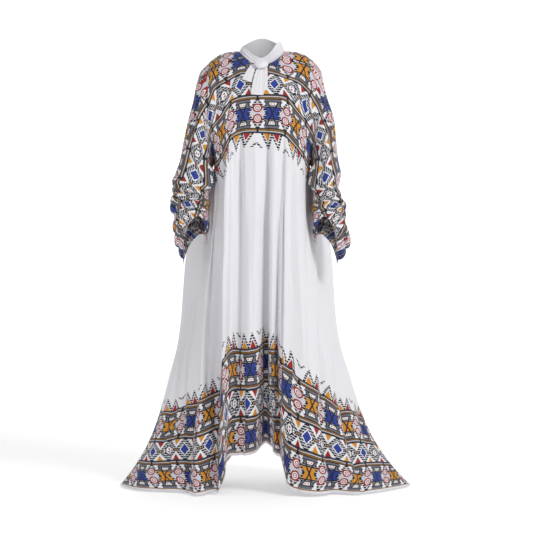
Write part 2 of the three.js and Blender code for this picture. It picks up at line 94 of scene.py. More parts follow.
# Creases between the main folds, as lines seen from in front. A minus height is a furrow.
CREASE_COLUMNS = "fromX fromZ toX toZ bend width height"
FRONT_CREASES = table(CREASE_COLUMNS, [
    ("beside the right underarm", -166, -300, -186, -760, 4, 9, -8),
    ("right side face", -172, -420, -262, -1240, -8, 14, 9.5),
    ("right side face, furrow", -178, -560, -232, -1380, 5, 6, -13),
    ("right side face, outer furrow", -196, -640, -292, -1400, -4, 6, -13),
    ("right side face, outmost furrow", -208, -700, -366, -1420, 6, 7, -12),
    ("right side face, low", -214, -760, -350, -1440, 6, 16, -9.5),
    ("outer right side, low", -262, -820, -430, -1450, -5, 18, 9.5),
    ("right front, long", -150, -330, -186, -1180, 3, 8, -6.5),
    ("deep valley's lip", -114, -290, -124, -1300, -2, 7, 16),
    ("deep valley, floor", -132, -330, -156, -1340, 3, 11, -22),
    ("beside the deep valley", -153, -420, -188, -1300, -2, 5, -11),
    ("over the right lobe", -116, -620, -172, -1440, 4, 10, 6.5),
    ("right of the middle, high", -92, -240, -96, -900, 2, 7, -5),
    ("second valley, sharp", -70, -190, -80, -1330, 2, 4.5, -15),
    ("middle, high", -52, -160, -58, -620, -3, 7, 4),
    ("middle, low", -30, -700, -34, -1330, 2, 8, -5.5),
    ("centre fall", -22, -250, -26, -820, 2, 7, 4),
    ("centre valley, sharp", 20, -170, 11, -1310, -1, 4.5, -17),
    ("recess edge", 30, -380, 28, -1300, 1, 6, 5),
    ("left crest, long", 42, -240, 44, -980, 2, 8, 4),
    ("sharp valley", 76, -210, 54, -1360, 1, 4.5, -18),
    ("sharp crest", 76, -300, 64, -1330, 2, 7, 5.5),
    ("left front, high", 92, -340, 104, -880, 4, 9, -4),
    ("left front, middle", 112, -300, 140, -1180, -4, 10, 5),
    ("left front, low", 124, -700, 172, -1420, 4, 12, -6.5),
    ("left side, high", 148, -330, 158, -900, 3, 8, -8),
    ("left side, middle", 166, -520, 236, -1300, -4, 12, 8),
    ("left side, low", 196, -800, 322, -1450, 6, 16, -11),
    ("left side, furrow", 176, -560, 218, -1380, -5, 6, -13),
    ("left side, outer furrow", 205, -640, 300, -1400, 4, 6, -12),
    ("left side, outmost furrow", 222, -720, 384, -1420, -6, 7, -11),
    ("left outer side", 214, -700, 420, -1450, -8, 18, 9.5),
    ("from the right shoulder", -142, -50, -158, -330, 6, 9, -6.5),
    ("beside the right armhole", -168, -90, -160, -300, 4, 8, 6.5),
    ("right chest, slanting", -98, -60, -126, -270, -4, 9, -4),
    ("from the left shoulder", 140, -48, 150, -320, -5, 9, -5.5),
    ("beside the left armhole", 168, -90, 158, -310, -3, 8, 6.5),
    ("left chest, slanting", 92, -56, 118, -260, 4, 9, -4),
    ("under the collar, right", -44, -60, -60, -200, 2, 6, -3),
    ("under the collar, left", 38, -60, 60, -200, -2, 6, -3),
    ("break on the right hem", -420, -1418, -190, -1400, 10, 12, 9.5),
    ("break on the left hem", 150, -1404, 430, -1420, 10, 12, 9.5),
    ("right lobe, furrow", -148, -1120, -174, -1560, 3, 6, -12),
    ("right hem, furrow", -212, -1060, -262, -1570, -4, 7, -13),
    ("right hem, outer furrow", -262, -1120, -356, -1580, 4, 8, -11),
    ("left lobe, furrow", 110, -1130, 124, -1560, 3, 6, -11),
    ("left hem, furrow", 188, -1080, 240, -1570, -4, 7, -13),
    ("left hem, outer furrow", 258, -1120, 362, -1580, 4, 8, -11),
    ("recess, right furrow", -60, -1060, -72, -1460, 2, 5, -10),
    ("recess, left furrow", 23, -1040, 28, -1450, -2, 5, -9),
])


def through_rows(values, at):
    """Smooth curve through evenly numbered values; at may lie between two of them."""
    last = len(values) - 1
    i = np.minimum(np.floor(at).astype(int), last - 1)
    t = at - i
    a, b, c, d = (values[np.clip(i + k, 0, last)] for k in (-1, 0, 1, 2))
    return b + 0.5 * t * (c - a + t * (2 * a - 5 * b + 4 * c - d + t * (3 * (b - c) + d - a)))


def down_curve(levels, values, z):
    """Smooth curve down through four levels: straight down at the underarm, kicked out at the floor."""
    slopes = [(values[k + 1] - values[k]) / (levels[k + 1] - levels[k]) for k in range(3)]
    middle = [(slopes[0] + slopes[1]) / 2, (slopes[1] + slopes[2]) / 2]
    tangents = [slopes[0] * 0, *middle, slopes[2] * HEM_KICK]
    result = values[0] + z * 0
    for k in range(3):
        width = levels[k + 1] - levels[k]
        t = np.clip((z - levels[k]) / width, 0, 1)
        piece = (2 * t**3 - 3 * t**2 + 1) * values[k] + (t**3 - 2 * t**2 + t) * width * tangents[k]
        piece = piece + (3 * t**2 - 2 * t**3) * values[k + 1] + (t**3 - t**2) * width * tangents[k + 1]
        result = np.where(z <= levels[k], piece, result)
    return result


def top_edge(x, front, reach, middle_z):
    """Neck and shoulder edge of a panel: front is -1 for the front and 1 for the back."""
    round_part = np.sqrt(np.clip(1 - (x / NECK_HALF_WIDTH) ** 2, 0, 1))
    neck_z = NECK_CORNER_Z + (middle_z - NECK_CORNER_Z) * round_part**2
    along = np.clip((np.abs(x) - NECK_HALF_WIDTH) / (SHOULDER_X - NECK_HALF_WIDTH), 0, 1)
    shoulder_z = NECK_CORNER_Z + (SHOULDER_Z - NECK_CORNER_Z) * along**SHOULDER_ROUNDING
    on_neck = np.abs(x) < NECK_HALF_WIDTH
    return np.where(on_neck, front * reach * round_part, 0), np.where(on_neck, neck_z, shoulder_z)


def panel_points(folds, front, fold, down, reach, middle_z, chest_depth):
    """Points of a body panel: fold counts its fold lines, down runs 0..1 to the underarm, 1..2 to the hem."""
    at = {name: through_rows(values, fold) for name, values in folds.items()}
    # Above the underarm each fold line bows out over the chest or the back.
    turn = np.pi * np.minimum(down, 1)
    top_x = SHOULDER_X * (2 * fold / (len(folds["hemZ"]) - 1) - 1)
    top_y, top_z = top_edge(top_x, front, reach, middle_z)
    middle_x = (top_x / SHOULDER_X + at["underX"] / UNDERARM_X) / 2
    across = 1 - middle_x**2
    bow = np.clip(np.sin(turn), 0, 1) ** np.where(down < 0.5, 1, 1 + 2 * across)
    end_y = np.where(down < 0.5, top_y, at["underY"])
    end_z = np.where(down < 0.5, top_z, UNDERARM_Z)
    z = ARMHOLE_MIDDLE_Z + np.abs(np.cos(turn)) * (end_z - ARMHOLE_MIDDLE_Z)
    x = top_x + (at["underX"] - top_x) * (top_z - z) / (top_z - UNDERARM_Z)
    yoke_y = front * (ARMHOLE_HALF_DEPTH + (chest_depth - ARMHOLE_HALF_DEPTH) * across)
    upper = np.stack([x, end_y + (yoke_y - end_y) * bow, z], -1)
    # Below it the fold lines spread through waist and knee to the hem.
    z = UNDERARM_Z + (at["hemZ"] - UNDERARM_Z) * (np.maximum(down, 1) - 1)
    levels = [UNDERARM_Z, WAIST_Z, KNEE_Z, at["hemZ"]]
    x, y = (
        down_curve(levels, [at[level + axis] for level in ("under", "waist", "knee", "hem")], z)
        for axis in "XY"
    )
    lower = np.stack([x, y, z], -1)
    return np.where((down <= 1)[..., None], upper, lower)


def surface_normals(points, wraps=False):
    """Outward directions of a grid whose rows go down and whose columns go round to the right."""
    down = np.gradient(points, axis=0)
    across = np.gradient(points, axis=1)
    if wraps:
        across = np.roll(points, -1, 1) - np.roll(points, 1, 1)
    normals = np.cross(down, across)
    return normals / np.maximum(np.linalg.norm(normals, axis=-1, keepdims=True), 1e-9)


def smooth_step(t):
    t = np.clip(t, 0, 1)
    return t * t * (3 - 2 * t)


def crease_height(x, z, creases):
    """How far the creases lift each point off the main folds."""
    lift = np.zeros(x.shape)
    for from_x, from_z, to_x, to_z, bend, width, height in zip(*creases.values()):
        run_x, run_z = to_x - from_x, to_z - from_z
        length = np.hypot(run_x, run_z)
        t = ((x - from_x) * run_x + (z - from_z) * run_z) / length**2
        beside = ((x - from_x) * run_z - (z - from_z) * run_x) / length
        beside = beside - bend * np.sin(2 * np.pi * np.clip(t, 0, 1) + bend)
        ends = smooth_step(t / 0.25) * smooth_step((1 - t) / 0.25)
        lift += height * ends * np.exp(-1.2 * np.abs(beside / width) ** 1.3)
    return lift


def arc_lengths(points, axis):
    """Distance run along the grid from its first row or column."""
    steps = np.linalg.norm(np.diff(points, axis=axis), axis=-1)
    first = np.zeros_like(np.take(steps, [0], axis=axis))
    return np.concatenate([first, np.cumsum(steps, axis=axis)], axis=axis)


def cloth_shell(name, outer, inward, thickness, cloth_u, cloth_v, materials, wraps=False):
    """A closed sheet of cloth: a grid of outer points and the same grid one thickness further in."""
    rows, columns = outer.shape[:2]
    points = np.concatenate([outer.reshape(-1, 3), (outer + inward * thickness).reshape(-1, 3)])
    spans = columns if wraps else columns - 1
    r, c = (g.ravel() for g in np.meshgrid(np.arange(rows - 1), np.arange(spans), indexing="ij"))
    here, beside = r * columns + c, r * columns + (c + 1) % columns
    shift = rows * columns
    outside = np.stack([here, here + columns, beside + columns, beside], 1)
    inside = np.stack([here, beside, beside + columns, here + columns], 1) + shift
    c = np.arange(spans)
    d = (c + 1) % columns
    low = (rows - 1) * columns
    rims = [np.stack([c, d, d + shift, c + shift], 1)]
    rims.append(np.stack([low + d, low + c, low + c + shift, low + d + shift], 1))
    if not wraps:
        r = np.arange(rows - 1) * columns
        e = r + columns - 1
        rims.append(np.stack([r + columns, r, r + shift, r + columns + shift], 1))
        rims.append(np.stack([e, e + columns, e + columns + shift, e + shift], 1))
    faces = np.concatenate([outside, inside, *rims])
    mesh = bpy.data.meshes.new(name)
    mesh.from_pydata((points * 0.001).tolist(), [], faces.tolist())
    flat = np.stack([cloth_u.ravel(), cloth_v.ravel()], 1) * 0.001
    flat = np.concatenate([flat, flat])
    mesh.uv_layers.new(name="cloth").data.foreach_set("uv", flat[faces.ravel()].ravel())
    for material in materials:
        mesh.materials.append(material)
    side = np.zeros(len(faces), int)
    side[len(outside):2 * len(outside)] = len(materials) - 1
    mesh.polygons.foreach_set("material_index", side)
    mesh.shade_smooth()
    mesh.validate()
    piece = bpy.data.objects.new(name, mesh)
    bpy.context.scene.collection.objects.link(piece)
    return piece


# The border print, charted in millimetres: u runs along the border, v from the middle of the border's inner
# stripe into the print, and the plain field has v below zero.
REPEAT = 98.6
LATTICE = REPEAT * 2 / 3
BLUE = (0.028, 0.050, 0.290, 1)
AMBER = (0.640, 0.275, 0.028, 1)
BRICK = (0.330, 0.026, 0.020, 1)
INK = (0.018, 0.019, 0.028, 1)
GREY = (0.140, 0.143, 0.175, 1)
BROWN = (0.255, 0.115, 0.016, 1)
WHITE = (0.815, 0.808, 0.840, 1)
PALE = (0.610, 0.610, 0.665, 1)


class Wire:
    """A number inside a node group, so that the chart below reads as plain arithmetic."""

    def __init__(self, group, socket):
        self.group = group
        self.socket = socket

    def math(self, operation, *others):
        node = self.group.nodes.new("ShaderNodeMath")
        node.operation = operation
        for i, value in enumerate([self, *others]):
            if isinstance(value, Wire):
                self.group.links.new(value.socket, node.inputs[i])
            else:
                node.inputs[i].default_value = value
        return Wire(self.group, node.outputs[0])

    def __rsub__(self, other):
        return self.math("MULTIPLY_ADD", -1.0, other)

    def __abs__(self):
        return self.math("ABSOLUTE")


def wire_operator(operation):
    return lambda self, other: self.math(operation, other)


for sign, operation in (
    ("add", "ADD"), ("sub", "SUBTRACT"), ("mul", "MULTIPLY"), ("truediv", "DIVIDE"),
    ("lt", "LESS_THAN"), ("gt", "GREATER_THAN"), ("and", "MULTIPLY"), ("or", "MAXIMUM"),
):
    setattr(Wire, f"__{sign}__", wire_operator(operation))


def border_print():
    group = bpy.data.node_groups.new("border print", "ShaderNodeTree")
    group.interface.new_socket("Place", in_out="INPUT", socket_type="NodeSocketVector")
    group.interface.new_socket("Colour", in_out="OUTPUT", socket_type="NodeSocketColor")
    enter = group.nodes.new("NodeGroupInput")
    split = group.nodes.new("ShaderNodeSeparateXYZ")
    group.links.new(enter.outputs["Place"], split.inputs[0])
    u = Wire(group, split.outputs["X"]) * 1000
    v = Wire(group, split.outputs["Y"]) * 1000
    ground = group.nodes.new("ShaderNodeRGB")
    ground.outputs[0].default_value = WHITE
    cloth = [ground.outputs[0]]

    def paint(colour, where):
        mix = group.nodes.new("ShaderNodeMix")
        mix.data_type = "RGBA"
        group.links.new(where.socket, mix.inputs["Factor"])
        group.links.new(cloth[0], mix.inputs[6])
        mix.inputs[7].default_value = colour
        cloth[0] = mix.outputs[2]

    def odd(count):
        return count.math("FLOORED_MODULO", 2.0) > 0.5

    def dashes(along, pitch, share):
        return (along / pitch).math("FRACT") < share

    in_border = v > -9
    # Triangles that stand on the inner stripe and point into the plain field.
    a = u - (u / REPEAT).math("ROUND") * REPEAT
    b = abs(a)
    h = -9 - v
    row = (h > 0) & (h < 51)
    from_triangle = abs(b - REPEAT / 3)
    triangle = row & ((from_triangle / 12 + h / 27) < 1)
    paint(AMBER, triangle & (a > 0))
    paint(BRICK, triangle & (a < 0))
    edge = abs(from_triangle + h * 0.381 - 17.5) < 3.9
    paint(INK, row & edge & dashes(h, 9.4, 0.7))
    tip = (abs(b - (h - 34) * 0.75) < 3.7) & (h > 33)
    paint(INK, row & tip & dashes(h, 9.4, 0.7))
    # Two bands of medallions, alike, with the distance w counted from the middle of each.
    w = abs(v - 61).math("MINIMUM", abs(v - 288))
    in_band = w < 52
    from_gap = REPEAT / 2 - b
    lozenge = b / 29 + w / 50
    hollow = in_band & (lozenge > 1.14)
    block = hollow & (w < 20.5)
    even_gap = odd((abs(u) / REPEAT).math("FLOOR"))
    paint(BLUE, block)
    paint(AMBER, block & even_gap)
    lines = (abs(w - 21.3) < 2.3) | (abs(w - 26.4) < 2.0) | (abs(w - 41.6) < 2.6)
    paint(INK, hollow & lines & (from_gap < 28))
    bar = in_band & (abs(w - 47) < 4.4) & (from_gap < 26)
    paint(GREY, bar)
    motif = in_band & (abs(w - 33.5) < 7)
    slant = from_gap - (w - 26) * 0.36
    paint(GREY, motif & (slant > 10.5) & (from_gap < 21))
    paint(INK, motif & ((abs(slant - 9.5) < 2.0) | (abs(from_gap - 22) < 2.0)))
    paint(AMBER, motif & ((abs(from_gap - 4.6) + abs(w - 33.5)) < 3.2))
    crossing = abs(from_gap - w * 0.42) < 2.6
    paint(INK, hollow & crossing & (w < 26))
    paint(PALE, in_band & (lozenge < 0.97))
    paint(INK, in_band & (abs(lozenge - 1.07) < 0.15) & dashes(w, 9.2, 0.76))
    ring = (a * a + (w - 19) * (w - 19)).math("SQRT")
    paint(BRICK, in_band & (abs(ring - 13.5) < 2.6))
    paint(WHITE, in_band & (ring < 10.9))
    paint(BRICK, in_band & (abs(ring - 6.2) < 1.3))
    paint(AMBER, in_band & (ring < 2.2))
    # The band of diamonds between them, with the distance wd counted from its middle.
    wd = abs(v - 174.5)
    in_diamonds = wd < 43.5
    count = (u / LATTICE).math("ROUND")
    d = abs(u - count * LATTICE)
    diamond = d / (LATTICE / 2) + wd / 43.5
    notch = (LATTICE / 2 - d) / 12 + (43.5 - wd) / 25 < 1
    notch_side = odd((u / LATTICE).math("FLOOR")) - (v > 174.5)
    paint(AMBER, in_diamonds & notch)
    paint(BRICK, in_diamonds & notch & (abs(notch_side) > 0.5))
    paint(INK, in_diamonds & (abs(diamond - 1.01) < 0.16) & dashes(wd, 9.2, 0.78))
    paint(INK, in_diamonds & (abs(diamond - 0.72) < 0.1) & dashes(wd, 9.6, 0.7))
    blue_place = odd(abs(count))
    blue = in_diamonds & blue_place & ((d / 15.5 + wd / 22) < 1)
    paint(BLUE, blue)
    six_sided = (d * 1.3).math("MAXIMUM", d * 0.65 + wd * 0.8)
    hexagon = in_diamonds & (1 - blue_place)
    paint(INK, hexagon & (abs(six_sided - 15.5) < 3.6) & dashes(wd + d, 8.8, 0.78))
    paint(BRICK, hexagon & ((d + abs(wd - 5.5)) < 4.2))
    paint(AMBER, in_diamonds & ((LATTICE / 2 - d + wd) < 4))
    # Three striped lines divide the bands, each with its brown side toward the medallions.
    first = v < 61
    second = (v < 174.5) - first
    s = v * first + (122 - v) * second + (v - 227) * (v > 174.5)
    stripe = in_border & (abs(s) < 10.5)
    paint(INK, stripe)
    paint(BROWN, stripe & (abs(s - 4.7) < 2.5))
    paint(WHITE, stripe & (abs(s + 0.6) < 1.0))
    paint(GREY, stripe & (abs(s + 3.2) < 1.6))
    paint(INK, stripe & (b < 3.6))
    # Plain strip along the hem with one thin brown line.
    paint(WHITE, v > 340)
    paint(BROWN, abs(v - 342) < 2)
    leave = group.nodes.new("NodeGroupOutput")
    group.links.new(cloth[0], leave.inputs["Colour"])
    return group


def crepe_surface():
    """Fine upright crinkle of the crepe with streaks under it; puts out a normal."""
    group = bpy.data.node_groups.new("crepe surface", "ShaderNodeTree")
    group.interface.new_socket("Normal", in_out="OUTPUT", socket_type="NodeSocketVector")
    place = group.nodes.new("ShaderNodeTexCoord")
    drawn_out = group.nodes.new("ShaderNodeVectorMath")
    drawn_out.operation = "MULTIPLY"
    drawn_out.inputs[1].default_value = (1.0, 1.0, 0.05)
    group.links.new(place.outputs["Object"], drawn_out.inputs[0])
    normal = None
    for scale, depth in ((95.0, 0.0016), (900.0, 0.00009)):
        noise = group.nodes.new("ShaderNodeTexNoise")
        noise.inputs["Scale"].default_value = scale
        noise.inputs["Detail"].default_value = 2.0
        group.links.new(drawn_out.outputs[0], noise.inputs["Vector"])
        bump = group.nodes.new("ShaderNodeBump")
        bump.inputs["Distance"].default_value = depth
        group.links.new(noise.outputs["Fac"], bump.inputs["Height"])
        if normal:
            group.links.new(normal, bump.inputs["Normal"])
        normal = bump.outputs["Normal"]
    leave = group.nodes.new("NodeGroupOutput")
    group.links.new(normal, leave.inputs["Normal"])
    return group


PRINT = border_print()
CREPE = crepe_surface()


def crepe(name, printed, paling_and_shade=0):
    """Light crepe, printed or plain; paling_and_shade mixes its reverse toward pale grey: the print showing
    through paler, and painted shade on the inside of the garment.
    """
    material = bpy.data.materials.new(name)
    material.use_nodes = True
    nodes, links = material.node_tree.nodes, material.node_tree.links
    shader = nodes["Principled BSDF"]
    for socket, value in (
        ("Roughness", 0.8), ("Specular IOR Level", 0.25), ("Sheen Weight", 0.15),
        ("Sheen Roughness", 0.5), ("Base Color", WHITE),
    ):
        shader.inputs[socket].default_value = value
    surface = nodes.new("ShaderNodeGroup")
    surface.node_tree = CREPE
    links.new(surface.outputs["Normal"], shader.inputs["Normal"])
    if not printed:
        return material
    place = nodes.new("ShaderNodeUVMap")
    place.uv_map = "cloth"
    chart = nodes.new("ShaderNodeGroup")
    chart.node_tree = PRINT
    links.new(place.outputs["UV"], chart.inputs["Place"])
    colour = chart.outputs["Colour"]
    # Painted shade: the reverse is mixed toward grey PALE, partly the print showing through paler, partly
    # shade inside the garment.
    if paling_and_shade:
        pale_and_shade_mix = nodes.new("ShaderNodeMix")
        pale_and_shade_mix.data_type = "RGBA"
        pale_and_shade_mix.inputs["Factor"].default_value = paling_and_shade
        pale_and_shade_mix.inputs[7].default_value = PALE
        links.new(colour, pale_and_shade_mix.inputs[6])
        colour = pale_and_shade_mix.outputs[2]
    links.new(colour, shader.inputs["Base Color"])
    return material


printed_crepe = crepe("printed crepe", True)
# The body's reverse is mixed far toward grey: a faint print with painted shade inside the garment.
printed_reverse = crepe("printed crepe, reverse", True, 0.85)


# Where the border lies over chest and shoulders: the worn front is ruled in steps of 3.32 mm, counted across
# from beyond the right sleeve and down from above the neck. Each row gives the chart place that comes there.
PRINT_NET = table("across down u v", [
    # middle
    (257.5, 200, 0, -230),
    (257.5, 160, 0, -98),
    (257.5, 131.5, 0, 0),
    (257.5, 113.7, 0, 61),
    (257.5, 97.5, 0, 122),
    (257.5, 84, 0, 174.5),
    (257.5, 71, 0, 227),
    (257.5, 55, 0, 288),
    # right field
    (235, 165, -75, -98),
    (225, 176, -215, -56),
    (228, 215, -150, -230),
    (214, 200, -270, -150),
    # right, inner stripe
    (238, 133.5, -65.7, 0),
    (229.5, 139.5, -98.6, 0),
    (221, 158, -197, 0),
    (212, 167, -240, 0),
    # right, medallions
    (243, 116, -49.3, 61),
    (231, 121, -98.6, 61),
    (217, 143, -197, 61),
    # right, middle stripe
    (243, 98.5, -49.3, 122),
    (230.5, 103, -98.6, 122),
    (221, 117, -145, 122),
    (214, 125, -182, 122),
    # right, diamonds
    (240.5, 85, -65.7, 174.5),
    (225, 95, -131.4, 174.5),
    # right, upper stripe
    (240, 72.5, -56, 227),
    (226, 80, -98.6, 227),
    (213, 89, -148, 227),
    (207, 104, -202, 227),
    # right, upper medallions
    (240.5, 61.5, -49.3, 288),
    (224, 66, -98.6, 288),
    (213, 71, -148, 288),
    (205, 86, -197, 288),
    # left field
    (280, 163, 70, -98),
    (298, 173, 175, -80),
    (290, 215, 150, -230),
    (306, 198, 262, -130),
    # left, inner stripe
    (276, 132.5, 65.7, 0),
    (285, 134.5, 98.6, 0),
    (293, 143, 140, 0),
    (300, 151, 175, 0),
    (311, 170, 250, 0),
    # left, medallions
    (272, 114, 49.3, 61),
    (286, 117, 98.6, 61),
    (296, 125, 148, 61),
    (307, 144, 228, 61),
    # left, middle stripe
    (272, 97.5, 49.3, 122),
    (288, 100.5, 98.6, 122),
    (299, 114, 160, 122),
    (310, 130, 222, 122),
    # left, diamonds
    (274, 84, 65.7, 174.5),
    (291, 88, 131.4, 174.5),
    (304, 105, 197, 174.5),
    # left, upper stripe
    (272, 72, 48, 227),
    (288, 77.5, 98.6, 227),
    (299, 82, 141, 227),
    (309, 91, 185, 227),
    # left, upper medallions
    (272, 59, 49, 288),
    (286.5, 64, 98.6, 288),
    (304, 67, 148, 288),
    (315, 79, 197, 288),
])


# One step of the net, and the counts at which the middle of the front and height zero lie in it.
NET_STEP = 3.318
NET_MIDDLE = 261.9
NET_TOP = 48.8
# Below this height the print is charted from the hem up, and the hem's edge lies at HEM_V.
CHEST_PRINT_END_Z = -560
HEM_V = 354
# The print is mirrored above this v, so that both bands of medallions are alike.
MIRROR_V = 317


def spread(a, b):
    """How strongly each place of b bends the sheet at each place of a."""
    distance = np.linalg.norm(a[:, None] - b[None], axis=-1)
    return distance**2 * np.log(distance + 1e-6)


def chart_places(points):
    """Chart places of points on chest, back and armholes: one smooth sheet bent through the net."""
    known = np.stack([PRINT_NET["across"] - NET_MIDDLE, NET_TOP - PRINT_NET["down"]], -1) * (NET_STEP / 100)
    # Toward the shoulder seam and the underarm the cloth turns away, so its depth counts as height too.
    away = np.clip(80 - np.abs(points[..., 1]), 0, 80) * np.clip((points[..., 2] + 209) / 60, -1, 1)
    place = np.stack([points[..., 0], points[..., 2] + 0.45 * away], -1).reshape(-1, 2) / 100
    count = len(known)
    plane = np.concatenate([np.ones((count, 1)), known], 1)
    system = np.block([[spread(known, known) + 0.004 * np.eye(count), plane], [plane.T, np.zeros((3, 3))]])
    wanted = np.stack([PRINT_NET["u"], PRINT_NET["v"]], -1)
    weights = np.linalg.solve(system, np.concatenate([wanted, np.zeros((3, 2))]))
    found = spread(place, known) @ weights[:count]
    found = found + np.concatenate([np.ones((len(place), 1)), place], 1) @ weights[count:]
    found = found.reshape(*points.shape[:-1], 2)
    return found[..., 0], MIRROR_V - np.abs(MIRROR_V - found[..., 1])


def panel_inward(points, outward, underarm_row):
    """Direction into the cloth; along its edges it is turned so that neighbouring panels meet."""
    inward = -outward
    inward[0] = (0, 0, -1)
    for column in (0, -1):
        side = np.sign(points[-1, column, 0])
        middle = np.array([side * (SHOULDER_X + UNDERARM_X) / 2, 0, ARMHOLE_MIDDLE_Z])
        toward = middle - points[:underarm_row, column]
        inward[:underarm_row, column] = toward / np.linalg.norm(toward, axis=-1, keepdims=True)
        inward[underarm_row:, column] = (-side, 0, 0)
    return inward


def body_panel(name, node, folds, front, reach, middle_z, depth, creases, columns, rows, hem_shift, hem_scale):
    """One panel of the body, from neck and shoulder seams to the hem."""
    above, below = rows
    down = np.concatenate([np.linspace(0, 1, above + 1), np.linspace(1, 2, below + 1)[1:]])
    fold = np.linspace(0, len(folds["hemZ"]) - 1, columns)
    down, fold = np.meshgrid(down, fold, indexing="ij")
    # The folds wander a little on their way down, but not at the seams or the hem.
    last = len(folds["hemZ"]) - 1
    at_edge = smooth_step(fold) * smooth_step(last - fold)
    free = at_edge * smooth_step((down - 0.8) / 0.5) * smooth_step((2 - down) / 0.15)
    wander = 0.11 * np.sin(7.1 * down + 1.9 * fold) + 0.07 * np.sin(13.3 * down + 2.7 * fold + 1)
    points = panel_points(folds, front, fold + wander * free, down, reach, middle_z, depth)
    normals = surface_normals(points) * -front
    lift = crease_height(points[..., 0], points[..., 2], creases)
    near_top = smooth_step(down / 0.12)
    points = points + normals * (lift * at_edge * near_top)[..., None]
    normals = surface_normals(points) * -front
    # Where each point lies in the flat cloth.
    x, z = points[..., 0], points[..., 2]
    run = arc_lengths(points, 1)
    zero = np.argmin(np.abs(fold[0] - last * 0.5))
    run = run - run[:, zero:zero + 1] + x[:, zero:zero + 1]
    to_hem = arc_lengths(points, 0)
    to_hem = to_hem[-1:] - to_hem
    chest_u, chest_v = chart_places(points)
    at_chest = z > CHEST_PRINT_END_Z
    cloth_u = np.where(at_chest, chest_u, run + hem_shift)
    cloth_v = np.where(at_chest, chest_v, HEM_V - to_hem * np.interp(fold, *hem_scale))
    inward = panel_inward(points, normals, above)
    points[0, :, 1] += front * 0.1
    points[above:, [0, -1], 1] += front * 0.1
    if front > 0:
        points, inward = points[:, ::-1], inward[:, ::-1]
        cloth_u, cloth_v = cloth_u[:, ::-1], cloth_v[:, ::-1]
    piece = cloth_shell(name, points, inward, CLOTH, cloth_u, cloth_v, [printed_crepe, printed_reverse])
    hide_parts(node)
    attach(piece, "root")
    return piece


# The border stands lower toward the side seams, where the wide cloth is cut slanting.
HEM_SCALE_FRONT = ([0, 2, 4, 6, 8, 15, 16, 17, 19, 21], [1.3, 1.22, 1.08, 0.94, 1, 1, 0.92, 1.02, 1.2, 1.3])
front = body_panel(
    "front_panel", "front", FRONT_FOLDS, -1, NECK_FRONT_REACH, NECK_FRONT_Z, CHEST_DEPTH,
    FRONT_CREASES, 236, (58, 110), 15, HEM_SCALE_FRONT,
)


# ----------------------------------------------------------
# Back panel: cut like the front, with a higher neck. It hangs in softer, more even folds and its hem rises in
# the middle nearly as far.
# ----------------------------------------------------------
NECK_BACK_REACH = 56
NECK_BACK_Z = 14
BACK_DEPTH = 116

BACK_FOLDS = table(FOLD_COLUMNS, [
    ("right side seam", -163, 0, -248, 92, -306, 60, -482, -10, -1464),
    ("right side face", -160, 40, -236, 122, -292, 112, -440, 84, -1466),
    ("right side crest", -150, 75, -208, 142, -262, 160, -352, 168, -1467),
    ("right valley", -130, 94, -165, 122, -208, 132, -268, 138, -1465),
    ("right crest", -105, 112, -124, 144, -150, 178, -196, 206, -1462),
    ("right inner valley", -70, 112, -80, 124, -94, 138, -130, 132, -1412),
    ("right centre crest", -35, 122, -41, 146, -50, 172, -74, 170, -1352),
    ("centre valley", 0, 116, 1, 124, 3, 130, 5, 92, -1330),
    ("left centre crest", 38, 122, 46, 146, 54, 174, 76, 172, -1354),
    ("left inner valley", 72, 112, 85, 124, 100, 140, 134, 134, -1418),
    ("left crest", 106, 112, 128, 144, 156, 180, 204, 208, -1463),
    ("left valley", 130, 94, 166, 122, 210, 134, 274, 140, -1466),
    ("left side crest", 150, 75, 198, 142, 254, 158, 366, 166, -1467),
    ("left side face", 160, 40, 218, 120, 276, 106, 456, 80, -1467),
    ("left side seam", 163, 0, 228, 92, 286, 58, 506, -6, -1465),
])

BACK_CREASES = table(CREASE_COLUMNS, [
    ("right side, long", -156, -400, -262, -1380, 6, 13, 9),
    ("right side, furrow", -142, -460, -300, -1440, -5, 12, -9),
    ("right of the valley", -128, -300, -196, -1300, 4, 9, -7.5),
    ("right crest, high", -104, -260, -116, -860, -3, 9, 6),
    ("right crest, low", -122, -720, -178, -1430, 4, 12, -7.5),
    ("right inner valley", -72, -240, -106, -1390, 2, 7, -9),
    ("right centre, high", -46, -180, -50, -760, 3, 8, 4.5),
    ("right centre, low", -38, -640, -66, -1330, -3, 9, -6),
    ("centre valley", -2, -220, 4, -1310, 3, 6, -9),
    ("beside the centre", 18, -300, 28, -1150, -2, 8, 6),
    ("left centre, long", 44, -200, 62, -1320, 3, 8, -6),
    ("left inner valley", 74, -260, 112, -1390, -3, 7, -9),
    ("left crest, high", 98, -300, 128, -900, 3, 9, 6),
    ("left crest, low", 124, -680, 184, -1430, -4, 12, -7.5),
    ("left valley", 134, -330, 236, -1400, 4, 10, -7.5),
    ("left side, long", 158, -420, 300, -1440, -6, 14, 9),
    ("left side, low", 214, -820, 396, -1450, 5, 15, -9),
    ("across the right shoulder blade", -160, -130, -60, -210, 6, 14, 4.5),
    ("across the left shoulder blade", 158, -150, 50, -230, -6, 14, 4.5),
    ("under the collar, right", -38, -20, -60, -190, 3, 8, -3),
    ("under the collar, left", 30, -20, 52, -210, -3, 8, -4),
    ("break on the right hem", -400, -1424, -180, -1410, 8, 12, 9),
    ("break on the left hem", 180, -1412, 420, -1426, 8, 12, 9),
])
HEM_SCALE_BACK = ([0, 2, 4, 7, 10, 12, 14], [1.3, 1.2, 1.06, 1, 1.06, 1.2, 1.3])
back = body_panel(
    "back_panel", "back", BACK_FOLDS, 1, NECK_BACK_REACH, NECK_BACK_Z, BACK_DEPTH,
    BACK_CREASES, 162, (60, 118), 20, HEM_SCALE_BACK,
)


